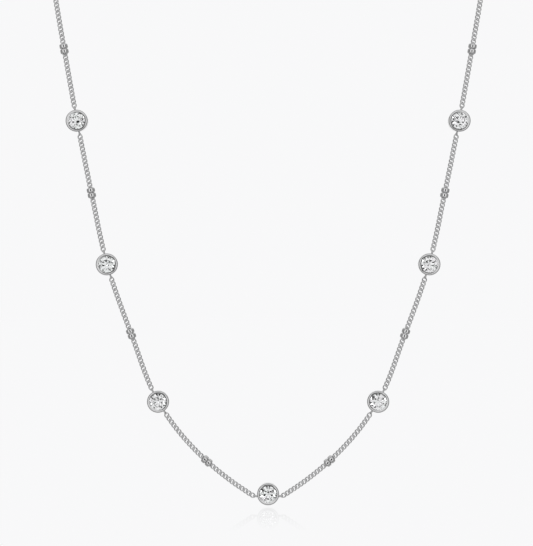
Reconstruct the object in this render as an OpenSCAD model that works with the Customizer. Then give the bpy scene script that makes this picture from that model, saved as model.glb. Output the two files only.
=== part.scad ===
/* [Stones] */
// Diameter of each round brilliant
stone_d = 3.5; // [3:0.1:4.5]
// Width of the table, in percent of the stone's diameter
table_pct = 57; // [52:1:64]
// Height of the crown, in percent of the stone's diameter
crown_pct = 15; // [12:1:18]
// Height of the girdle, in percent of the stone's diameter
girdle_pct = 3; // [1:0.5:5]
// Depth of the pavilion, in percent of the stone's diameter
pavilion_pct = 43; // [40:1:46]
// How far the star facets reach from the table to the girdle, in percent
star_pct = 50; // [40:1:60]
// How far the lower half facets reach from the girdle to the culet, in percent
lower_half_pct = 75; // [65:1:85]

/* [Settings] */
// Thickness of the cup's wall
cup_wall = 0.4; // [0.3:0.02:0.7]
// Clearance round the stone in its cup
stone_gap = 0.05; // [0.03:0.01:0.08]
// How far the rim reaches in over the edge of the stone
rim_hold = 0.1; // [0.06:0.01:0.16]
// Height of the rim above the edge of the stone
rim_up = 0.4; // [0.3:0.02:0.5]
// Radius of the rim's rounded outer edge
rim_round = 0.22; // [0.1:0.02:0.28]
// Clearance above and below the edge of the stone
edge_gap = 0.075; // [0.04:0.005:0.1]
// Width of the seat that the stone rests on
seat_w = 0.35; // [0.2:0.05:0.6]
// Height of the cup's back edge behind the point of the stone
point_guard = 0.1; // [0.05:0.05:0.5]
// How far the back edge of the cup is drawn in
back_taper = 0.12; // [0:0.02:0.2]
// Height of the stone's edge in front of the chain
stone_up = 0.45; // [0.3:0.05:0.6]
// How far the middle setting stands above the chain's line
middle_up = 0.4; // [0:0.05:0.6]

/* [Soldered eyes] */
// Thickness of an eye's wire
eye_wire = 0.27; // [0.22:0.01:0.32]
// Diameter of the hole in an eye
eye_hole = 0.57; // [0.5:0.01:0.7]
// How deep an eye's wire sinks into the part that it is soldered to
solder_depth = 0.26; // [0.15:0.01:0.3]

/* [Chain] */
// Width of the fine curb chain
chain_w = 1.04; // [0.9:0.02:1.2]
// Thickness of the fine chain's wire
chain_wire = 0.3; // [0.24:0.01:0.32]
// Clearance between wires that are linked
link_gap = 0.05; // [0.03:0.01:0.08]

/* [Beads] */
// Length of each bead
bead_len = 0.97; // [0.8:0.01:1.4]
// Diameter of each bead
bead_d = 1.64; // [1.5:0.02:2]
// Radius of a bead's rounded edges
bead_round = 0.3; // [0.1:0.01:0.35]
// Clearance between the two beads of a pair, and round the chain in a bead's bore
bead_gap = 0.05; // [0.03:0.01:0.08]

/* [Spacing] */
// Distance from the middle setting to the next ones, along the chain
middle_pitch = 30; // [28:0.1:32]
// Distance from the middle setting to the first pair of beads
middle_pair = 14.6; // [13:0.1:16]
// Distance between the other settings, along the chain
setting_pitch = 29.3; // [27:0.1:31]

/* [Clasp] */
// Length of the clasp's barrel
barrel_len = 8; // [6:0.5:12]
// Diameter of the clasp's barrel
barrel_d = 2.6; // [2:0.1:3.5]
// Radius of the barrel's rounded ends
barrel_round = 0.9; // [0.4:0.05:0.95]
// Width of the groove round the barrel's middle
groove_w = 0.3; // [0.1:0.05:0.6]
// Depth of the groove round the barrel's middle
groove_depth = 0.15; // [0.05:0.05:0.3]

/* [Hidden] */
$fn = 64;
silver = [0.8, 0.8, 0.81];
clear_stone = [0.93, 0.96, 0.98];

// Half of the chain's line, from the lowest point to the back of the neck, as x, y, z.
// The front hangs flat, and the rest goes round the neck.
front_y = -67;
ROUTE = [
    [0, front_y, -122.3], [2.8, front_y, -122.3], [4.8, front_y, -121.1], [9.5, front_y, -117.7],
    [14.3, front_y, -113.4], [18.6, front_y, -108.5], [22, front_y, -103.4], [27.2, front_y, -90.4],
    [32.2, front_y, -76], [35.3, front_y, -61.9], [38.2, front_y, -47.4], [40.8, front_y, -32.9],
    [42.9, front_y, -20.5], [44.5, -64.8, -12], [46.3, -57, -6], [47.6, -44, -3],
    [46.8, -29, -1.5], [41.2, -14.5, -0.5], [30, -4.5, 0], [15.5, -0.8, 0], [0, 0, 0]
];

// How far behind the front the chain has turned its face fully outward
turn_depth = 30;
// The middle of the neck, which the chain's face turns away from at the back
neck_y = -33;

// Numbers of settings and of pairs of beads on each side, and of all pieces
setting_count = 3;
pair_count = setting_count + 1;
settings = 2 * setting_count + 1;
beads = 4 * pair_count;
chains = 2 * pair_count;

// Facets of the chain's tubes
chain_sides = 8;
front_ring_step = 4.2;
back_ring_step = 9;
route_steps = 12;

// The stone's proportions
stone_r = stone_d / 2;
table_r = stone_r * table_pct / 100;
crown_h = stone_d * crown_pct / 100;
girdle_h = stone_d * girdle_pct / 100;
pavilion_h = stone_d * pavilion_pct / 100;
cut = 8;
half_cut = 180 / cut;
star_r = table_r + (stone_r - table_r) * star_pct / 100;
star_h = crown_h * (stone_r - star_r * cos(half_cut)) / (stone_r - table_r);
lower_r = stone_r * (1 - lower_half_pct / 100);
lower_depth = pavilion_h * (1 - lower_r * cos(half_cut) / stone_r);

// The cup's profile
pocket_r = stone_r + stone_gap;
cup_r = pocket_r + cup_wall;
rim_in_r = stone_r - rim_hold;
bore_r = pocket_r - seat_w;
rim_z = stone_up + rim_up;
seat_z = stone_up - girdle_h - edge_gap;
point_z = stone_up - girdle_h - pavilion_h;
back_z = point_z - point_guard;
rim_flat = 0.12;
rim_fillet = min(rim_round, cup_wall - rim_flat);
rim_edge = 0.145;
crown_rise = crown_h / (stone_r - table_r);
pavilion_fall = pavilion_h / stone_r;
rim_under_z = stone_up + crown_rise * rim_hold + edge_gap;

// The eyes, measured from the face that each is soldered to
eye_r = (eye_hole + eye_wire) / 2;
eye_at = eye_r + eye_wire / 2 - solder_depth;
eye_hole_end = eye_at + eye_hole / 2;
eye_end = eye_at + eye_r + eye_wire / 2;

// The chain's line as a smooth curve through the route's points
function unit(v) = v / norm(v);
function mirrored(p) = [-p.x, p.y, p.z];
function soft(t) = let (c = min(max(t, 0), 1)) c * c * (3 - 2 * c);

last = len(ROUTE) - 1;
function corner(i) = i < 0 ? mirrored(ROUTE[-i]) : i > last ? mirrored(ROUTE[2 * last - i]) : ROUTE[i];
function gap_after(i) = norm(corner(i + 1) - corner(i));
function heading(i) =
    let (before = gap_after(i - 1), after = gap_after(i))
    ((corner(i) - corner(i - 1)) / before * after + (corner(i + 1) - corner(i)) / after * before)
    / (before + after);
function curve(i, t) =
    let (d = gap_after(i), t2 = t * t, t3 = t2 * t)
    corner(i) * (2 * t3 - 3 * t2 + 1) + corner(i + 1) * (3 * t2 - 2 * t3)
    + heading(i) * d * (t3 - 2 * t2 + t) + heading(i + 1) * d * (t3 - t2);

line = [for (i = [0 : last - 1], k = [0 : route_steps - 1]) curve(i, k / route_steps), ROUTE[last]];
function step_after(i) = i < len(line) - 1 ? norm(line[i + 1] - line[i]) : 0;
run = [for (i = 0, d = 0; i < len(line); d = d + step_after(i), i = i + 1) d];
half_length = run[len(run) - 1];
by_x = [for (i = [0 : len(line) - 1]) [run[i], line[i].x]];
by_y = [for (i = [0 : len(line) - 1]) [run[i], line[i].y]];
by_z = [for (i = [0 : len(line) - 1]) [run[i], line[i].z]];

// The point, direction, outward face and sideways direction at a distance along the line
function point(s) =
    s < 0 ? mirrored(point(-s)) :
    s > half_length ? mirrored(point(2 * half_length - s)) :
    [lookup(s, by_x), lookup(s, by_y), lookup(s, by_z)];
feel = 0.4;
function along(s) = unit(point(s + feel) - point(s - feel));
function outward(s) =
    let (p = point(s), turn = soft((p.y - front_y) / turn_depth))
    [0, -1, 0] * (1 - turn) + unit([p.x, p.y - neck_y, 0]) * turn;
function face(s) = let (t = along(s), o = outward(s)) unit(o - t * (o * t));
function sideways(s) = cross(face(s), along(s));

// Puts a piece at a distance along the line: x runs along it and z faces outward
module on_line(s) {
    t = along(s);
    b = sideways(s);
    n = face(s);
    p = point(s);
    multmatrix([[t.x, b.x, n.x, p.x], [t.y, b.y, n.y, p.y], [t.z, b.z, n.z, p.z], [0, 0, 0, 1]])
        children();
}

// The right half is made, and the left half is its mirror image
module on_side(right) {
    if (right) children();
    else mirror([1, 0, 0]) children();
}

// Places along the line, counted from the lowest point
function setting_s(k) = k == 0 ? 0 : middle_pitch + (k - 1) * setting_pitch;
function pair_s(k) = k == 1 ? middle_pair : setting_s(k - 1) + setting_pitch / 2;
function bead_s(m) = pair_s(ceil(m / 2)) + (m % 2 == 1 ? -1 : 1) * (bead_len + bead_gap) / 2;

// A ring of round wire that lies in the x-z plane, or flat in the x-y plane
module ring(r, wire) rotate_extrude() translate([r, 0]) circle(d = wire);
module standing_ring(r, wire) rotate([90, 0, 0]) ring(r, wire);

// A round brilliant, with the edge of its crown at z = 0
module brilliant() {
    function around(r, z, turn) =
        [for (k = [0 : cut - 1]) let (a = 2 * half_cut * k + turn) [r * cos(a), r * sin(a), z]];
    table = around(table_r, crown_h, 0);
    star = around(star_r, star_h, half_cut);
    top_main = around(stone_r, 0, 0);
    top_half = around(stone_r, 0, half_cut);
    low_main = around(stone_r, -girdle_h, 0);
    low_half = around(stone_r, -girdle_h, half_cut);
    lower = around(lower_r, -girdle_h - lower_depth, half_cut);
    points = concat(table, star, top_main, top_half, low_main, low_half, lower,
        [[0, 0, -girdle_h - pavilion_h]]);
    T = 0;
    S = cut;
    M = 2 * cut;
    H = 3 * cut;
    LM = 4 * cut;
    LH = 5 * cut;
    P = 6 * cut;
    culet = 7 * cut;
    faces = concat(
        [[for (k = [cut - 1 : -1 : 0]) T + k]],
        [for (k = [0 : cut - 1]) let (n = (k + 1) % cut) [T + k, T + n, S + k]],
        [for (k = [0 : cut - 1]) let (b = (k + cut - 1) % cut) [T + k, S + k, M + k, S + b]],
        [for (k = [0 : cut - 1]) [S + k, H + k, M + k]],
        [for (k = [0 : cut - 1]) let (n = (k + 1) % cut) [S + k, M + n, H + k]],
        [for (k = [0 : cut - 1]) [M + k, H + k, LH + k, LM + k]],
        [for (k = [0 : cut - 1]) let (n = (k + 1) % cut) [H + k, M + n, LM + n, LH + k]],
        [for (k = [0 : cut - 1]) [LM + k, LH + k, P + k]],
        [for (k = [0 : cut - 1]) let (n = (k + 1) % cut) [LH + k, LM + n, P + k]],
        [for (k = [0 : cut - 1]) let (b = (k + cut - 1) % cut) [LM + k, P + k, culet, P + b]]
    );
    polyhedron(points, faces);
}

module stone(i) {
    k = abs(i - setting_count - 1);
    s = setting_s(k);
    upright = atan2(-along(s).z, sideways(s).z);
    color(clear_stone) on_side(i > setting_count) on_line(s)
        translate([0, k == 0 ? middle_up : 0, stone_up]) rotate([0, 0, upright]) brilliant();
}

// An open-backed cup whose rim is rubbed over the edge of the stone
module cup() {
    rotate_extrude() {
        polygon([
            [bore_r, back_z],
            [cup_r - back_taper, back_z],
            [cup_r, stone_up - girdle_h],
            [cup_r, rim_z - rim_fillet],
            [cup_r - rim_fillet, rim_z],
            [cup_r - rim_fillet - rim_flat, rim_z],
            [rim_in_r, rim_under_z + rim_edge],
            [rim_in_r, rim_under_z],
            [pocket_r, stone_up + edge_gap],
            [pocket_r, seat_z],
            [bore_r, seat_z - pavilion_fall * seat_w]
        ]);
        intersection() {
            translate([cup_r - rim_fillet, rim_z - rim_fillet]) circle(rim_fillet);
            translate([cup_r - rim_fillet, rim_z - rim_fillet]) square(rim_fillet);
        }
    }
}

module setting(i) {
    k = abs(i - setting_count - 1);
    s = setting_s(k);
    color(silver) on_side(i > setting_count) {
        on_line(s) translate([0, k == 0 ? middle_up : 0, 0]) cup();
        for (way = [-1, 1])
            on_line(s + way * (cup_r + eye_at)) standing_ring(eye_r, eye_wire);
    }
}

// The outline of a barrel with rounded edges, whose axis is the y axis
module barrel_outline(length, d, round) {
    translate([0, -length / 2]) square([d / 2 - round, length]);
    translate([0, round - length / 2]) square([d / 2, length - 2 * round]);
    for (end = [-1, 1]) intersection() {
        translate([d / 2 - round, end * (length / 2 - round)]) circle(round);
        translate([0, -length / 2]) square([d / 2, length]);
    }
}

// One bead of the pairs. The chain runs through its bore.
module bead(i) {
    m = i > 2 * pair_count ? i - 2 * pair_count : 2 * pair_count + 1 - i;
    color(silver) on_side(i > 2 * pair_count) on_line(bead_s(m))
        rotate([0, 90, 0]) rotate_extrude() difference() {
            barrel_outline(bead_len, bead_d, bead_round);
            translate([0, -bead_len]) square([chain_w / 2 + bead_gap, 2 * bead_len]);
        }
}

// A length of fine chain as a tube, from a distance along the line to another by way of a third
module tube(from, by, to, step_before, step_after) {
    before = ceil((by - from) / step_before);
    after = ceil((to - by) / step_after);
    rings = before + after;
    function ring_s(i) =
        i < before ? from + (by - from) * i / before : by + (to - by) * (i - before) / after;
    function tube_ring(s) =
        let (p = point(s), n = face(s), b = sideways(s))
        [for (j = [0 : chain_sides - 1]) let (v = 360 * (j + 0.5) / chain_sides)
            p + chain_w / 2 * (b * cos(v) + n * sin(v))];
    points = [for (i = [0 : rings]) each tube_ring(ring_s(i))];
    sides = [for (i = [0 : rings - 1], j = [0 : chain_sides - 1])
        let (j2 = (j + 1) % chain_sides, a = i * chain_sides, b = a + chain_sides)
        each [[a + j, b + j, b + j2], [a + j, b + j2, a + j2]]];
    near = [for (j = [0 : chain_sides - 1]) j];
    far = [for (j = [chain_sides - 1 : -1 : 0]) rings * chain_sides + j];
    polyhedron(points, concat([near], sides, [far]));
}

// The end of a chain, as a ring through the eye of the piece that it is linked to. The piece stands
// at s, the chain leaves it in the direction way, and the eye is soldered at eye_face from its middle.
function tube_start(eye_face) = eye_face + eye_end + 2 * link_gap;
module end_ring(s, way, eye_face) {
    near = eye_face + eye_hole_end - link_gap - chain_wire / 2;
    far = tube_start(eye_face) + link_gap + chain_wire / 2;
    on_line(s + way * (near + far) / 2) ring((far - near) / 2, chain_wire);
}

// Each chain links a setting's eye at its lower end, and a setting's or the clasp's at its upper end
module chain(i) {
    k = i > pair_count ? i - pair_count : pair_count + 1 - i;
    to_clasp = k == pair_count;
    low_s = setting_s(k - 1);
    high_s = to_clasp ? half_length : setting_s(k);
    high_face = to_clasp ? barrel_len / 2 : cup_r;
    color(silver) on_side(i > pair_count) {
        tube(low_s + tube_start(cup_r), pair_s(k), high_s - tube_start(high_face),
            front_ring_step, to_clasp ? back_ring_step : front_ring_step);
        end_ring(low_s, 1, cup_r);
        end_ring(high_s, -1, high_face);
    }
}

// A plain barrel clasp behind the neck, with a groove where its halves meet and an eye at each end
module clasp() {
    color(silver) on_line(half_length) {
        rotate([0, 90, 0]) rotate_extrude() difference() {
            barrel_outline(barrel_len, barrel_d, min(barrel_round, barrel_d / 2 - eye_wire));
            translate([barrel_d / 2 - groove_depth, -groove_w / 2]) square([barrel_d, groove_w]);
        }
        for (way = [-1, 1])
            translate([way * (barrel_len / 2 + eye_at), 0, 0]) standing_ring(eye_r, eye_wire);
    }
}

for (i = [1 : settings]) setting(i);
for (i = [1 : settings]) stone(i);
for (i = [1 : beads]) bead(i);
for (i = [1 : chains]) chain(i);
clasp();
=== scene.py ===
# %% [markdown]
# # A silver station necklace with seven round stones
# A station necklace is a fine chain that stops at regular places, its stations, for a small stone
# in a setting. This one hangs from the back of the neck and falls to a point at the front. Seven
# clear stones sit in plain rubbed-over cups. Half-way between them, and above the topmost ones, the
# fine curb chain runs through a pair of small rounded beads.
#
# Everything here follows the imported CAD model. The script first loads that model, which stays where
# it is, then builds finer pieces in the same places. The stones keep their CAD facets. Working from a
# measured model is better than modelling by eye, because each new piece then fits its neighbours.

import math

import bpy
import numpy as np
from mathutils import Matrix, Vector


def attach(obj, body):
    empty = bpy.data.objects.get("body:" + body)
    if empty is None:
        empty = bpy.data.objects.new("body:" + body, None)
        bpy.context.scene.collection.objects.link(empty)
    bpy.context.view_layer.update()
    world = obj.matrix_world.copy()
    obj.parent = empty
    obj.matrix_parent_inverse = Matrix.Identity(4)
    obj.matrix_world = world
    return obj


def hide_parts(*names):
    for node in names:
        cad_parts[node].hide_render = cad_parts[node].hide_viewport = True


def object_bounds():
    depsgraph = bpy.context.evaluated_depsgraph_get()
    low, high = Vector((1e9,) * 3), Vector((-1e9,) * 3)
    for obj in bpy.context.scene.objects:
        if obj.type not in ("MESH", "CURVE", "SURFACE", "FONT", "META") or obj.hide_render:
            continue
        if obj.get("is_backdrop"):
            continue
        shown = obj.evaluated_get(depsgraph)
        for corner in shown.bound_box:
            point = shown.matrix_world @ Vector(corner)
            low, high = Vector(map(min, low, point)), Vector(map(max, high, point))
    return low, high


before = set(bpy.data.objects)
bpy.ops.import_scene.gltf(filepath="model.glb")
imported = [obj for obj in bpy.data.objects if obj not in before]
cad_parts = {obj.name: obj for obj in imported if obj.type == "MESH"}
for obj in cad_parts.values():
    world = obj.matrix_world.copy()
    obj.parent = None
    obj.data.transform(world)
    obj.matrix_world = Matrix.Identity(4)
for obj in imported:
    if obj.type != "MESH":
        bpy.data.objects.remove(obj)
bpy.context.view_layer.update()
MM = 0.001

# %% [markdown]
# ## The line of the chain
# A chain takes the shape of the hollow that it rests on. At the front this one lies flat and falls
# straight and slightly bowed from stone to stone. It then turns over the shoulders to the back of
# the neck. The points below are the route that the CAD model uses, for the right half. The left half
# is its mirror image. A smooth curve through them is better than straight lines, because a fine
# chain shows every kink.

# %% Route points in millimetres
FRONT_Y = -67
ROUTE = np.array([
    [0, FRONT_Y, -122.3], [2.8, FRONT_Y, -122.3], [4.8, FRONT_Y, -121.1], [9.5, FRONT_Y, -117.7],
    [14.3, FRONT_Y, -113.4], [18.6, FRONT_Y, -108.5], [22, FRONT_Y, -103.4], [27.2, FRONT_Y, -90.4],
    [32.2, FRONT_Y, -76], [35.3, FRONT_Y, -61.9], [38.2, FRONT_Y, -47.4], [40.8, FRONT_Y, -32.9],
    [42.9, FRONT_Y, -20.5], [44.5, -64.8, -12], [46.3, -57, -6], [47.6, -44, -3],
    [46.8, -29, -1.5], [41.2, -14.5, -0.5], [30, -4.5, 0], [15.5, -0.8, 0], [0, 0, 0]
])
MIRROR = np.array([-1, 1, 1])
CURVE_STEPS = 12


# %% Smooth line
def smooth_line(points, steps):
    """A curve through the points, whose slope at each point favours its nearer neighbour."""
    before, after = points[1] * MIRROR, points[-2] * MIRROR
    corners = np.vstack([before, points, after])
    gaps = np.linalg.norm(np.diff(corners, axis=0), axis=1)
    slopes = np.diff(corners, axis=0) / gaps[:, None]
    headings = slopes[:-1] * gaps[1:, None] + slopes[1:] * gaps[:-1, None]
    headings /= (gaps[1:] + gaps[:-1])[:, None]
    line = []
    for i in range(len(points) - 1):
        for t in np.arange(steps) / steps:
            line.append(
                points[i] * (2 * t**3 - 3 * t**2 + 1) + points[i + 1] * (3 * t**2 - 2 * t**3)
                + headings[i] * gaps[i + 1] * (t**3 - 2 * t**2 + t)
                + headings[i + 1] * gaps[i + 1] * (t**3 - t**2)
            )
    return np.array(line + [points[-1]])


LINE = smooth_line(ROUTE, CURVE_STEPS)
RUN = np.concatenate([[0], np.cumsum(np.linalg.norm(np.diff(LINE, axis=0), axis=1))])
HALF_LENGTH = RUN[-1]
print(f"The whole loop is {2 * HALF_LENGTH:.1f} mm long")

# %% [markdown]
# A link needs more than a place: it must know which way the chain runs and which way its face looks.
# At the front the face looks straight ahead. Round the neck it looks away from the middle of the
# neck. These three directions make a small frame of axes at every distance along the chain.

# %% Axes along the chain
TURN_DEPTH = 30
NECK_Y = -33
FEEL = 0.4


def unit(v):
    return v / np.linalg.norm(v)


def point(s):
    if s < 0:
        return point(-s) * MIRROR
    if s > HALF_LENGTH:
        return point(2 * HALF_LENGTH - s) * MIRROR
    return np.array([np.interp(s, RUN, LINE[:, axis]) for axis in range(3)])


def axes(s):
    """The directions along the chain, sideways and outward, at a distance along it."""
    along = unit(point(s + FEEL) - point(s - FEEL))
    p = point(s)
    depth = min(max((p[1] - FRONT_Y) / TURN_DEPTH, 0), 1)
    turn = depth * depth * (3 - 2 * depth)
    ahead = np.array([0, -1, 0]) * (1 - turn)
    if turn > 0:
        ahead = ahead + unit(np.array([p[0], p[1] - NECK_Y, 0])) * turn
    face = unit(ahead - along * (ahead @ along))
    return along, np.cross(face, along), face


def on_line(points, s):
    """Carries points from a piece's own axes to a distance along the chain."""
    along, sideways, face = axes(s)
    return point(s) + points @ np.array([along, sideways, face])


# %% [markdown]
# ## Sizes
# A stone is sold by its diameter, and the setter makes the cup to fit it. So the stone comes first
# here too, and the cup follows from it. These are the sizes of the CAD model, in millimetres.

# %% Sizes
STONE_D = 3.5
STONE_UP = 0.45
GIRDLE_H, PAVILION_H, CROWN_H = 0.03 * STONE_D, 0.43 * STONE_D, 0.15 * STONE_D
TABLE_R = 0.57 * STONE_D / 2
CUP_WALL, STONE_GAP, EDGE_GAP = 0.4, 0.05, 0.075
RIM_HOLD, RIM_UP, RIM_ROUND, RIM_FLAT, RIM_EDGE = 0.1, 0.4, 0.22, 0.12, 0.145
SEAT_W, POINT_GUARD, BACK_TAPER, MIDDLE_UP = 0.35, 0.1, 0.12, 0.4
EYE_WIRE, EYE_HOLE, SOLDER_DEPTH = 0.27, 0.57, 0.26
CHAIN_W, LINK_GAP = 1.04, 0.05
BEAD_LEN, BEAD_D, BEAD_ROUND, BEAD_GAP = 0.97, 1.64, 0.3, 0.05
MIDDLE_PITCH, MIDDLE_PAIR, SETTING_PITCH = 30, 14.6, 29.3
BARREL_LEN, BARREL_D, BARREL_ROUND, GROOVE_W, GROOVE_DEPTH = 8, 2.6, 0.9, 0.3, 0.15

STONE_R = STONE_D / 2
POCKET_R = STONE_R + STONE_GAP
CUP_R = POCKET_R + CUP_WALL
EYE_R = (EYE_HOLE + EYE_WIRE) / 2
EYE_AT = EYE_R + EYE_WIRE / 2 - SOLDER_DEPTH
EYE_HOLE_END = EYE_AT + EYE_HOLE / 2
print(f"A cup is {2 * CUP_R} mm across, round a stone of {STONE_D} mm")

# %% [markdown]
# The stations are counted outward from the lowest point of the chain, and their places are distances
# along it. The setter measures them the same way, with the chain laid straight on the bench.

# %% Places along the chain
SIDE_SETTINGS = 3
SIDE_PAIRS = SIDE_SETTINGS + 1


def setting_s(k):
    return 0 if k == 0 else MIDDLE_PITCH + (k - 1) * SETTING_PITCH


def pair_s(k):
    return MIDDLE_PAIR if k == 1 else setting_s(k - 1) + SETTING_PITCH / 2


def bead_s(m):
    """The place of bead m, counted from the lowest point: two to each pair."""
    return pair_s((m + 1) // 2) + (-1 if m % 2 else 1) * (BEAD_LEN + BEAD_GAP) / 2


print("Stations at", [round(setting_s(k), 1) for k in range(SIDE_SETTINGS + 1)], "mm")

# %% [markdown]
# ## The finishes
# Silver jewellery of this kind is polished until it mirrors its surroundings. What the eye reads as
# silver is the bright and dark parts of the room in its curves, so the metal is a mirror with a
# little roughness, and the room does the rest. Wear shows as hair-fine scratches, and polish is
# never quite even, so a soft noise varies the gloss. The scratches are a stretched noise used as a
# very shallow bump.


# %% Polished silver
def silver(name, colour, gloss, dull, scratch):
    """Polished metal whose roughness wanders between gloss and dull, with fine scratches."""
    material = bpy.data.materials.new(name)
    material.use_nodes = True
    nodes, links = material.node_tree.nodes, material.node_tree.links
    shader = nodes["Principled BSDF"]
    shader.inputs["Metallic"].default_value = 1
    place = nodes.new("ShaderNodeTexCoord")

    polish = nodes.new("ShaderNodeTexNoise")
    polish.inputs["Scale"].default_value = 900
    polish.inputs["Detail"].default_value = 3
    links.new(place.outputs["Object"], polish.inputs["Vector"])
    roughness = nodes.new("ShaderNodeMapRange")
    roughness.inputs["From Min"].default_value = 0.35
    roughness.inputs["From Max"].default_value = 0.65
    roughness.inputs["To Min"].default_value = gloss
    roughness.inputs["To Max"].default_value = dull
    links.new(polish.outputs["Fac"], roughness.inputs["Value"])
    links.new(roughness.outputs["Result"], shader.inputs["Roughness"])

    tone = nodes.new("ShaderNodeValToRGB")
    tone.color_ramp.elements[0].position = 0.3
    tone.color_ramp.elements[0].color = (*[c * 0.94 for c in colour], 1)
    tone.color_ramp.elements[1].position = 0.7
    tone.color_ramp.elements[1].color = (*colour, 1)
    links.new(polish.outputs["Fac"], tone.inputs["Fac"])
    links.new(tone.outputs["Color"], shader.inputs["Base Color"])

    stretch = nodes.new("ShaderNodeMapping")
    stretch.inputs["Scale"].default_value = (14000, 1800, 14000)
    stretch.inputs["Rotation"].default_value = (0.4, 0.3, 0.9)
    links.new(place.outputs["Object"], stretch.inputs["Vector"])
    hairs = nodes.new("ShaderNodeTexNoise")
    hairs.inputs["Scale"].default_value = 1
    hairs.inputs["Detail"].default_value = 2
    links.new(stretch.outputs["Vector"], hairs.inputs["Vector"])
    bump = nodes.new("ShaderNodeBump")
    bump.inputs["Strength"].default_value = scratch
    bump.inputs["Distance"].default_value = 0.000002
    links.new(hairs.outputs["Fac"], bump.inputs["Height"])
    links.new(bump.outputs["Normal"], shader.inputs["Normal"])
    return material


SETTING_SILVER = silver("setting_silver", (0.81, 0.81, 0.815), 0.04, 0.12, 0.25)
BEAD_SILVER = silver("bead_silver", (0.92, 0.92, 0.925), 0.1, 0.2, 0.3)
CHAIN_SILVER = silver("chain_silver", (0.88, 0.88, 0.885), 0.08, 0.18, 0.3)
CLASP_SILVER = silver("clasp_silver", (0.92, 0.92, 0.925), 0.06, 0.16, 0.35)
print("Silver finishes:", [m.name for m in (SETTING_SILVER, BEAD_SILVER, CHAIN_SILVER, CLASP_SILVER)])

# %% [markdown]
# The stones are colourless and cut as round brilliants. Their facets bend light strongly and throw
# most of it back, in a pattern of bright and black patches. A clear glass shader with a high
# refractive index on flat facets gives that pattern by itself. A trace of cloudiness keeps the
# facets from looking like a drawing.


# %% Clear stone
def clear_stone():
    material = bpy.data.materials.new("clear_stone")
    material.use_nodes = True
    nodes, links = material.node_tree.nodes, material.node_tree.links
    shader = nodes["Principled BSDF"]
    shader.inputs["Transmission Weight"].default_value = 1
    shader.inputs["IOR"].default_value = 2.42
    place = nodes.new("ShaderNodeTexCoord")
    cloud = nodes.new("ShaderNodeTexNoise")
    cloud.inputs["Scale"].default_value = 700
    links.new(place.outputs["Object"], cloud.inputs["Vector"])
    tint = nodes.new("ShaderNodeValToRGB")
    tint.color_ramp.elements[0].position = 0.4
    tint.color_ramp.elements[0].color = (0.95, 0.98, 0.97, 1)
    tint.color_ramp.elements[1].position = 0.6
    tint.color_ramp.elements[1].color = (0.99, 0.98, 1, 1)
    links.new(cloud.outputs["Fac"], tint.inputs["Fac"])
    links.new(tint.outputs["Color"], shader.inputs["Base Color"])
    polish = nodes.new("ShaderNodeMapRange")
    polish.inputs["To Min"].default_value = 0.005
    polish.inputs["To Max"].default_value = 0.02
    links.new(cloud.outputs["Fac"], polish.inputs["Value"])
    links.new(polish.outputs["Result"], shader.inputs["Roughness"])
    return material


CLEAR_STONE = clear_stone()

# %% [markdown]
# ## Making meshes
# Every piece below ends as one mesh in the frame's metres, which rides on the one body of the
# necklace, stands for its CAD node and takes its finish. Two small helpers do this for all of them.
# Only the right half is worked out: the left half is its mirror image.


# %% Mesh helpers
def mirrored(points, quads, right):
    """The left half is the mirror image of the right one, with its faces turned round."""
    if right:
        return points, quads
    return points * MIRROR, quads[:, ::-1]


def make_piece(name, points, quads, finish):
    """A smooth mesh object from points in millimetres."""
    mesh = bpy.data.meshes.new(name)
    mesh.from_pydata((points * MM).tolist(), [], quads.tolist())
    mesh.polygons.foreach_set("use_smooth", np.ones(len(mesh.polygons), bool))
    mesh.materials.append(finish)
    mesh.update()
    piece = bpy.data.objects.new(name, mesh)
    bpy.context.scene.collection.objects.link(piece)
    return piece


def put_on(piece, node):
    """Lets a finished piece stand for a CAD node."""
    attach(piece, "root")
    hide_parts(node)


# %% [markdown]
# Links and eyes are bent from round wire and closed. One helper lays wire along any closed line. A
# direction across the wire is given at each point, so that the wire doesn't turn about itself.


# %% Wire
def ring_quads(count, sides):
    """Faces between rings of points that close in both directions."""
    i, j = np.meshgrid(np.arange(count), np.arange(sides), indexing="ij")
    i2, j2 = (i + 1) % count, (j + 1) % sides
    quads = np.stack([i * sides + j, i * sides + j2, i2 * sides + j2, i2 * sides + j], axis=-1)
    return quads.reshape(-1, 4)


def wire_loop(centre_line, across, wire, sides):
    """Round wire along a closed line. across gives a direction that lies across the wire."""
    count = len(centre_line)
    tangent = np.roll(centre_line, -1, axis=0) - np.roll(centre_line, 1, axis=0)
    tangent /= np.linalg.norm(tangent, axis=1)[:, None]
    side = np.cross(tangent, across)
    side /= np.linalg.norm(side, axis=1)[:, None]
    other = np.cross(side, tangent)
    v = 2 * math.pi * np.arange(sides) / sides
    cos_v, sin_v = np.cos(v)[None, :, None], np.sin(v)[None, :, None]
    rings = centre_line[:, None, :] + wire / 2 * (other[:, None, :] * cos_v + side[:, None, :] * sin_v)
    return rings.reshape(-1, 3), ring_quads(count, sides)


# %% [markdown]
# ## The fine chain
# A curb link starts as an oval of wire. It is then twisted about its length, so that each end leans
# over the next link and the whole chain lies flat. In the CAD model each stretch is a plain tube,
# since hundreds of links would be too heavy there. Here every link is made, as an oval whose sides
# turn steadily from one end to the other. The twist, the slight lean and the spacing are chosen by
# trial against the photograph, with a hair of air left between neighbours.


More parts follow.
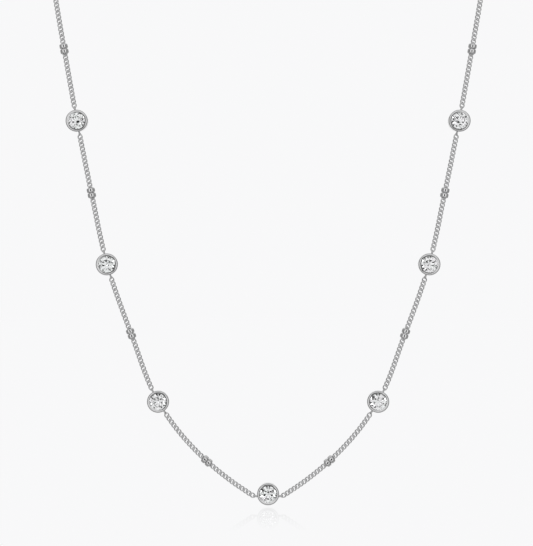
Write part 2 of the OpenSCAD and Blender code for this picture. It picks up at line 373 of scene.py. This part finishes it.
# %% Curb link
def curb_link(length, width, wire, turn, lean, sections, sides):
    """One link in its own axes: x along the chain, z outward. Length and width are outer sizes."""
    u = 2 * math.pi * np.arange(sections) / sections
    angle = math.radians(turn) * np.cos(u)
    reach = (width - wire) / 2 * np.sin(u)
    line = np.stack([(length - wire) / 2 * np.cos(u), reach * np.cos(angle), reach * np.sin(angle)], axis=1)
    across = np.stack([np.zeros(sections), -np.sin(angle), np.cos(angle)], axis=1)
    c, s = math.cos(math.radians(lean)), math.sin(math.radians(lean))
    leant = np.array([[c, s, 0], [-s, c, 0], [0, 0, 1]])
    return wire_loop(line @ leant, across @ leant, wire, sides)


LINK_WIRE, LINK_LEN, LINK_TURN, LINK_LEAN, LINK_PITCH = 0.25, 1.48, 55, 8, 0.81
LINK_SECTIONS, LINK_SIDES = 28, 10
LINK = curb_link(LINK_LEN, CHAIN_W, LINK_WIRE, LINK_TURN, LINK_LEAN, LINK_SECTIONS, LINK_SIDES)
print("Faces in a link:", len(LINK[1]))

# %% [markdown]
# The CAD model has eight stretches, so the links are gathered into eight meshes. In each stretch they
# stand at an even spacing that starts and ends in the eyes that hold it.


# %% Stretch of links
def stretch_of_links(low_s, high_s):
    """Links from one eye to the next. Both distances are where the wire of the end links lies."""
    half = (LINK_LEN - LINK_WIRE) / 2
    first, final = low_s + half, high_s - half
    count = 1 + round((final - first) / LINK_PITCH)
    places = np.linspace(first, final, count)
    points = np.vstack([on_line(LINK[0], s) for s in places])
    quads = np.vstack([LINK[1] + i * len(LINK[0]) for i in range(count)])
    return points, quads, count


# %% Fine chain
EYE_REACH = EYE_HOLE_END - LINK_GAP - LINK_WIRE / 2
link_total = 0
for number in range(1, 2 * SIDE_PAIRS + 1):
    right = number > SIDE_PAIRS
    k = number - SIDE_PAIRS if right else SIDE_PAIRS + 1 - number
    low = setting_s(k - 1) + CUP_R + EYE_REACH
    high = HALF_LENGTH - BARREL_LEN / 2 if k == SIDE_PAIRS else setting_s(k) - CUP_R
    points, quads, count = stretch_of_links(low, high - EYE_REACH)
    points, quads = mirrored(points, quads, right)
    stretch = make_piece(f"chain_{number}_links", points, quads, CHAIN_SILVER)
    put_on(stretch, f"chain_{number}")
    link_total += count
print("Fine links:", link_total)

# %% [markdown]
# ## The settings
# Each setting is a short piece of silver tube. The stone drops in from the front onto a narrow seat,
# and the rim is rubbed over its edge with a burnisher, which leaves the rim soft and bright. The
# back stays open to let light in. A wire eye is soldered to each side. On a lathe the cup would be
# turned from a profile, and so it is here: a profile with rounded corners, spun about its axis.


# %% Rounded profile
NEARLY_STRAIGHT = math.radians(88)


def rounded(corners, steps=9):
    """A closed profile whose corners (r, z, radius) become arcs."""
    outline = []
    count = len(corners)
    for i, (r, z, radius) in enumerate(corners):
        here = np.array([r, z])
        to_last = unit(np.array(corners[i - 1][:2]) - here)
        to_next = unit(np.array(corners[(i + 1) % count][:2]) - here)
        half = math.acos(np.clip(to_last @ to_next, -1, 1)) / 2
        if radius == 0 or half > NEARLY_STRAIGHT:
            outline.append(here)
            continue
        centre = here + unit(to_last + to_next) * radius / math.sin(half)
        start = here + to_last * radius / math.tan(half) - centre
        end = here + to_next * radius / math.tan(half) - centre
        sweep = math.atan2(start[0] * end[1] - start[1] * end[0], start @ end)
        for t in np.linspace(0, 1, steps + 1):
            c, s = math.cos(sweep * t), math.sin(sweep * t)
            outline.append(centre + np.array([c * start[0] - s * start[1], s * start[0] + c * start[1]]))
    return np.array(outline)


def spun(outline, sides):
    """The profile (r, z) spun about the z axis."""
    v = 2 * math.pi * np.arange(sides) / sides
    count = len(outline)
    points = np.stack([
        outline[:, None, 0] * np.cos(v), outline[:, None, 0] * np.sin(v),
        np.repeat(outline[:, None, 1], sides, axis=1)
    ], axis=-1)
    return points.reshape(-1, 3), ring_quads(count, sides)


# %% [markdown]
# The profile below runs from the back of the cup up its outer wall, over the rim, and down past the
# girdle of the stone to the seat. The rim's outer shoulder is the roundest corner: it is what the
# burnisher leaves, and it draws the dark outline of the setting.

# %% Cup
SHOULDER_DROP, SHOULDER_ROUND, FINE_ROUND = 0.075, 0.3, 0.02
CUP_SIDES = 128
RIM_Z = STONE_UP + RIM_UP
BORE_R = POCKET_R - SEAT_W
RIM_IN_R = STONE_R - RIM_HOLD
SEAT_Z = STONE_UP - GIRDLE_H - EDGE_GAP
BACK_Z = STONE_UP - GIRDLE_H - PAVILION_H - POINT_GUARD
RIM_UNDER_Z = STONE_UP + CROWN_H / (STONE_R - TABLE_R) * RIM_HOLD + EDGE_GAP
CUP_OUTLINE = rounded([
    (BORE_R, BACK_Z, 0.05),
    (CUP_R - BACK_TAPER, BACK_Z, 0.09),
    (CUP_R, STONE_UP - GIRDLE_H, 0.4),
    (CUP_R, RIM_Z - SHOULDER_DROP, SHOULDER_ROUND),
    (CUP_R - RIM_ROUND - RIM_FLAT, RIM_Z, 0.03),
    (RIM_IN_R, RIM_UNDER_Z + RIM_EDGE, FINE_ROUND),
    (RIM_IN_R, RIM_UNDER_Z, FINE_ROUND),
    (POCKET_R, STONE_UP + EDGE_GAP, 0.01),
    (POCKET_R, SEAT_Z, FINE_ROUND),
    (BORE_R, SEAT_Z - PAVILION_H / STONE_R * SEAT_W, 0.04),
])
CUP = spun(CUP_OUTLINE, CUP_SIDES)
print("Cup outline points:", len(CUP_OUTLINE))

# %% [markdown]
# ## The beads
# Two little barrels with well rounded edges sit side by side on the chain, half-way between the
# stones. They too are turned from a profile. Their bore only just lets the chain through, so the
# rounding starts at the bore. The wall bulges by a hair, which softens what it mirrors.

# %% Bead
BORE_EDGE = CHAIN_W / 2 + BEAD_GAP
BEAD_BULGE = 0.004
BEAD_SIDES, BEAD_STEPS = 72, 14


def bead():
    """A bead in its own axes: x along the chain."""
    centre_r = BEAD_D / 2 - BEAD_ROUND
    from_bore = math.acos((BORE_EDGE - centre_r) / BEAD_ROUND)
    turn = np.linspace(from_bore, 0, BEAD_STEPS)
    out = centre_r + BEAD_ROUND * np.cos(turn)
    end = BEAD_LEN / 2 - BEAD_ROUND + BEAD_ROUND * np.sin(turn)
    arc = np.stack([out, end], axis=1)
    profile = np.vstack([arc, [[BEAD_D / 2 + BEAD_BULGE, 0]], arc[::-1] * [1, -1]])
    points, quads = spun(profile[::-1], BEAD_SIDES)
    return np.stack([points[:, 2], points[:, 0], points[:, 1]], axis=1), quads


BEAD = bead()

# %% String the beads
for number in range(1, 4 * SIDE_PAIRS + 1):
    right = number > 2 * SIDE_PAIRS
    m = number - 2 * SIDE_PAIRS if right else 2 * SIDE_PAIRS + 1 - number
    points, quads = mirrored(on_line(BEAD[0], bead_s(m)), BEAD[1], right)
    turned = make_piece(f"bead_{number}_turned", points, quads, BEAD_SILVER)
    put_on(turned, f"bead_{number}")
print("Beads:", 4 * SIDE_PAIRS)

# %% [markdown]
# ## The wire eyes
# A ring of wire stands on each side of a setting, with its hole open to the sides, so that the last
# link of the chain lies flat in it.


# %% Wire eye
def wire_eye(sections=48, sides=16):
    """A standing ring of wire: its plane holds the chain's direction and the outward one."""
    v = 2 * math.pi * np.arange(sections) / sections
    line = EYE_R * np.stack([np.cos(v), np.zeros(sections), np.sin(v)], axis=1)
    across = np.tile([0.0, 1.0, 0.0], (sections, 1))
    return wire_loop(line, across, EYE_WIRE, sides)


EYE = wire_eye()
print("Faces in an eye:", len(EYE[1]))

# %% [markdown]
# Solder makes the cup and its eyes one piece of metal. The meshes are therefore joined by a boolean
# union, which leaves one clean skin, and not two shells that run through each other.


# %% Solder
SHARP_EDGE = math.radians(50)


def soldered(name, parts, finish):
    """Joins (points, quads) parts into one skin."""
    base = make_piece(name, *parts[0], finish)
    for number, part in enumerate(parts[1:]):
        tool = make_piece(f"{name}_part_{number}", *part, finish)
        union = base.modifiers.new("solder", "BOOLEAN")
        union.operation = "UNION"
        union.solver = "EXACT"
        union.object = tool
        bpy.context.view_layer.objects.active = base
        bpy.ops.object.modifier_apply(modifier=union.name)
        bpy.data.objects.remove(tool)
    base.data.set_sharp_from_angle(angle=SHARP_EDGE)
    return base


# %% Settings
for number in range(1, 2 * SIDE_SETTINGS + 2):
    k = abs(number - SIDE_SETTINGS - 1)
    s = setting_s(k)
    right = number > SIDE_SETTINGS
    up = np.array([0, MIDDLE_UP if k == 0 else 0, 0])
    parts = [mirrored(on_line(CUP[0] + up, s), CUP[1], right)]
    for way in (-1, 1):
        parts.append(mirrored(on_line(EYE[0], s + way * (CUP_R + EYE_AT)), EYE[1], right))
    cup = soldered(f"setting_{number}_cup", parts, SETTING_SILVER)
    put_on(cup, f"setting_{number}")
print("Settings:", 2 * SIDE_SETTINGS + 1)

# %% [markdown]
# ## The stones
# The CAD model already has every facet of the cut: a table, stars, mains and halves above the
# girdle, and halves and mains below it. Flat facets need no finer mesh, so the stones keep theirs
# and only take the clear finish. Flat shading keeps each facet a plane.

# %% Finish the stones
for number in range(1, 2 * SIDE_SETTINGS + 2):
    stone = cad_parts[f"stone_{number}"]
    stone.data.materials.clear()
    stone.data.materials.append(CLEAR_STONE)
    stone.data.polygons.foreach_set("use_smooth", np.zeros(len(stone.data.polygons), bool))
print("Facet triangles in a stone:", len(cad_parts["stone_4"].data.polygons))

# %% [markdown]
# ## The clasp
# The photograph stops below the neck, so the clasp is a plain one: a smooth barrel whose halves meet
# at a groove, with an eye at each end for the last link. The profile is spun as the cup's is, then
# laid along the chain. Its ends keep a pinhole at the axis, which the eyes' solder covers.

# %% Barrel
BARREL_SIDES, BARREL_STEPS, PINHOLE_R = 96, 8, 0.01
BARREL_OUTLINE = rounded([
    (0, -BARREL_LEN / 2, 0), (BARREL_D / 2, -BARREL_LEN / 2, BARREL_ROUND),
    (BARREL_D / 2, -GROOVE_W / 2, 0.04), (BARREL_D / 2 - GROOVE_DEPTH, -GROOVE_W / 2, 0.03),
    (BARREL_D / 2 - GROOVE_DEPTH, GROOVE_W / 2, 0.03), (BARREL_D / 2, GROOVE_W / 2, 0.04),
    (BARREL_D / 2, BARREL_LEN / 2, BARREL_ROUND), (0, BARREL_LEN / 2, 0),
], BARREL_STEPS)
BARREL_OUTLINE = np.maximum(BARREL_OUTLINE, [PINHOLE_R, -BARREL_LEN])
print("Barrel outline points:", len(BARREL_OUTLINE))

# %% Clasp
barrel, barrel_quads = spun(BARREL_OUTLINE, BARREL_SIDES)
barrel = np.stack([barrel[:, 2], barrel[:, 0], barrel[:, 1]], axis=1)
parts = [(on_line(barrel, HALF_LENGTH), barrel_quads)]
for way in (-1, 1):
    shift = np.array([way * (BARREL_LEN / 2 + EYE_AT), 0, 0])
    parts.append((on_line(EYE[0] + shift, HALF_LENGTH), EYE[1]))
clasp = soldered("clasp_barrel", parts, CLASP_SILVER)
put_on(clasp, "clasp")

# %% [markdown]
# ## Floor, light and camera
# The photograph is a catalogue picture: a very pale plain ground with a faint mirror image of the
# lowest stone, and soft light all round. The floor lies just under the lowest setting. It glows
# evenly, as an overlit white table does, and mirrors a little where the stone stands near it. Only
# the camera sees the floor, so that the light on the metal comes from the painted room alone.

# %% Floor material
FLOOR_Z = -124.35
GROUND = (0.94, 0.94, 0.94 * 1.008, 1)
MIRROR_SHARE, MIRROR_FADE = 0.16, 24


def pale_floor():
    material = bpy.data.materials.new("pale_floor")
    material.use_nodes = True
    nodes, links = material.node_tree.nodes, material.node_tree.links
    nodes.clear()
    output = nodes.new("ShaderNodeOutputMaterial")
    glow = nodes.new("ShaderNodeEmission")
    glow.inputs["Color"].default_value = GROUND
    gloss = nodes.new("ShaderNodeBsdfGlossy")
    gloss.inputs["Color"].default_value = (1, 1, 1, 1)
    gloss.inputs["Roughness"].default_value = 0
    place = nodes.new("ShaderNodeTexCoord")
    split = nodes.new("ShaderNodeSeparateXYZ")
    fade = nodes.new("ShaderNodeMapRange")
    fade.inputs["From Min"].default_value = (FRONT_Y - MIRROR_FADE) * MM
    fade.inputs["From Max"].default_value = FRONT_Y * MM
    fade.inputs["To Min"].default_value = 0
    fade.inputs["To Max"].default_value = MIRROR_SHARE
    mix = nodes.new("ShaderNodeMixShader")
    links.new(place.outputs["Object"], split.inputs["Vector"])
    links.new(split.outputs["Y"], fade.inputs["Value"])
    links.new(fade.outputs["Result"], mix.inputs["Fac"])
    links.new(glow.outputs["Emission"], mix.inputs[1])
    links.new(gloss.outputs["BSDF"], mix.inputs[2])
    links.new(mix.outputs["Shader"], output.inputs["Surface"])
    return material


# %% Floor
floor_points = np.array([
    [-600, -500, FLOOR_Z], [600, -500, FLOOR_Z], [600, 900, FLOOR_Z], [-600, 900, FLOOR_Z]
])
floor = make_piece("floor", floor_points, np.array([[0, 1, 2, 3]]), pale_floor())
floor.visible_glossy = False
floor.visible_transmission = False
floor.visible_diffuse = False
floor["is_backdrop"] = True

# %% [markdown]
# Polished metal shows its surroundings, so the light is painted into the world around the piece,
# which costs nothing to render. Lamps and real panels would do the same with more noise. The world's
# colour depends on a direction alone, so it first needs a few small helpers.

# %% World
world = bpy.data.worlds.new("studio")
bpy.context.scene.world = world
world.use_nodes = True
nodes, links = world.node_tree.nodes, world.node_tree.links
direction = nodes.new("ShaderNodeTexCoord")
heading = nodes.new("ShaderNodeSeparateXYZ")
links.new(direction.outputs["Generated"], heading.inputs["Vector"])


# %% World helpers
def share(low, high, source):
    """A soft step from 0 to 1."""
    node = nodes.new("ShaderNodeMapRange")
    node.interpolation_type = "SMOOTHSTEP"
    node.inputs["From Min"].default_value = low
    node.inputs["From Max"].default_value = high
    links.new(source, node.inputs["Value"])
    return node.outputs["Result"]


def blend(factor, first, second):
    """The first colour where the factor is 0, and the second where it is 1."""
    node = nodes.new("ShaderNodeMix")
    node.data_type = "RGBA"
    colours = [i for i in node.inputs if i.type == "RGBA"]
    links.new(factor, node.inputs["Factor"])
    links.new(first, colours[0])
    links.new(second, colours[1])
    return [o for o in node.outputs if o.type == "RGBA"][0]


def paint(colour):
    node = nodes.new("ShaderNodeRGB")
    node.outputs["Color"].default_value = colour
    return node.outputs["Color"]


def grey(value):
    return paint((value, value, value, 1))


def worked_out(operation, *values):
    """A number made from others."""
    node = nodes.new("ShaderNodeMath")
    node.operation = operation
    for socket, value in zip(node.inputs, values):
        links.new(value, socket)
    return node.outputs["Value"]


# %% [markdown]
# In front, behind the camera, is a wide bright panel that dims a little at its middle. Round it lies
# a dark band, which draws the dark edges that make silver look like silver. The sides are dim, the
# ceiling is a softer panel, and behind is the pale ground. Each is a ramp of brightness by the angle
# from straight ahead, and the three ramps blend by height.

# %% Panels
SIDE_LIGHT = [
    (0, 0.66), (20, 0.86), (48, 0.83), (54, 0.2), (63, 0.19),
    (72, 0.28), (155, 0.28), (168, 0.94), (180, 0.94)
]
TOP_LIGHT = [
    (0, 0.66), (20, 0.88), (49, 0.88), (54, 0.19), (64, 0.19),
    (71, 0.56), (150, 0.56), (165, 0.7), (180, 0.85)
]
LOW_LIGHT = [
    (0, 0.64), (20, 0.8), (46, 0.68), (54, 0.19), (64, 0.19),
    (72, 0.36), (150, 0.36), (165, 0.94), (180, 0.94)
]
depth = nodes.new("ShaderNodeMapRange")
depth.inputs["From Min"].default_value = -1
depth.inputs["From Max"].default_value = 1
links.new(heading.outputs["Y"], depth.inputs["Value"])


def ramp(stops):
    """Brightness by the angle from straight ahead, in degrees, at a few listed stops."""
    node = nodes.new("ShaderNodeValToRGB")
    while len(node.color_ramp.elements) < len(stops):
        node.color_ramp.elements.new(0.5)
    for element, (angle, value) in zip(node.color_ramp.elements, stops):
        element.position = (1 - math.cos(math.radians(angle))) / 2
        element.color = (value, value, value, 1)
    links.new(depth.outputs["Result"], node.inputs["Fac"])
    return node.outputs["Color"]


# %% Blend the panels by height
flat = nodes.new("ShaderNodeCombineXYZ")
links.new(heading.outputs["X"], flat.inputs["X"])
links.new(heading.outputs["Z"], flat.inputs["Z"])
round_ahead = nodes.new("ShaderNodeVectorMath")
round_ahead.operation = "NORMALIZE"
links.new(flat.outputs["Vector"], round_ahead.inputs[0])
height = nodes.new("ShaderNodeSeparateXYZ")
links.new(round_ahead.outputs["Vector"], height.inputs["Vector"])
up_share = share(0.35, 0.8, height.outputs["Z"])
down_share = share(-0.35, -0.8, height.outputs["Z"])
panels = blend(down_share, blend(up_share, ramp(SIDE_LIGHT), ramp(TOP_LIGHT)), ramp(LOW_LIGHT))

# %% [markdown]
# The photograph's beads show a thin dark dash along the chain: the gap between two lights, where the
# camera looks through. A small dark card straight ahead gives that dash.


# %% Gap between the lights
def within(axis, inner, outer):
    """1 near the middle of an axis and 0 beyond the outer limit."""
    return share(outer, inner, worked_out("ABSOLUTE", heading.outputs[axis]))


in_front = share(0, -0.5, heading.outputs["Y"])
in_the_middle = worked_out("MULTIPLY", within("X", 0.22, 0.28), within("Z", 0.3, 0.38))
gap = worked_out("MULTIPLY", in_the_middle, in_front)
around_metal = blend(gap, panels, grey(0.03))

# %% [markdown]
# A stone gathers light from all round and needs other surroundings than the metal: bright ones, so
# that it stays white, with a few dark cards, which break up into its small dark flashes. A jewellery
# photographer puts black cards round the lens for the same reason. One bright card stands overhead.

# %% Cards round the stones
# Angle, turn, reach and brightness of each
CARDS = [
    (40, 133, 25, 0.01), (40, 48, 22, 0.04), (40, 266, 18, 0.06), (70, 330, 18, 0.05),
    (66, 98, 24, 4)
]
CARD_EDGE = 3


def card(angle, turn, reach):
    """1 inside a round card, angle degrees off straight ahead and turned anticlockwise from the right."""
    a, b = math.radians(angle), math.radians(turn)
    node = nodes.new("ShaderNodeVectorMath")
    node.operation = "DOT_PRODUCT"
    node.inputs[1].default_value = (math.sin(a) * math.cos(b), -math.cos(a), math.sin(a) * math.sin(b))
    links.new(direction.outputs["Generated"], node.inputs[0])
    outside, inside = math.radians(reach + CARD_EDGE), math.radians(reach - CARD_EDGE)
    return share(math.cos(outside), math.cos(inside), node.outputs["Value"])


around_stones = grey(1.14)
for angle, turn, reach, value in CARDS:
    around_stones = blend(card(angle, turn, reach), around_stones, grey(value))
print("Cards round the stones:", len(CARDS))

# %% [markdown]
# The Light Path node tells what kind of ray asks. Light that has passed through a stone gets the
# stones' surroundings, light off the metal the panels. The camera itself, and the mirror in the floor,
# see the plain pale ground.

# %% Join the surroundings
ray = nodes.new("ShaderNodeLightPath")
sees_ground = worked_out("MAXIMUM", ray.outputs["Is Camera Ray"], ray.outputs["Is Singular Ray"])
lit = blend(ray.outputs["Is Transmission Ray"], around_metal, around_stones)
links.new(blend(sees_ground, lit, paint(GROUND)), nodes["Background"].inputs["Color"])

# %% [markdown]
# The camera stands where the photograph's did: level with the middle of the piece and some 24
# centimetres in front of it, with a long lens. A plain view transform keeps the pale ground pale.

# %% Camera
CAMERA_AT = (-0.32, -307, -77.76)
PICTURE_SENSOR, PICTURE_LENS = 36, 79.12
camera_data = bpy.data.cameras.new("camera")
camera_data.sensor_width = PICTURE_SENSOR
camera_data.lens = PICTURE_LENS
camera_data.clip_start = 0.01
camera = bpy.data.objects.new("camera", camera_data)
camera.location = Vector(CAMERA_AT) * MM
camera.rotation_euler = (math.radians(90), 0, 0)
bpy.context.scene.collection.objects.link(camera)
bpy.context.scene.camera = camera
bpy.context.scene.view_settings.view_transform = "Standard"
bpy.context.scene.view_settings.look = "None"

# %% [markdown]
# The last cell measures the visual box of the finished pieces and prints it.

# %% Sizes for the record
low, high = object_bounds()
print("Visual box in mm:", [round(v / MM, 1) for v in (*low, *high)])
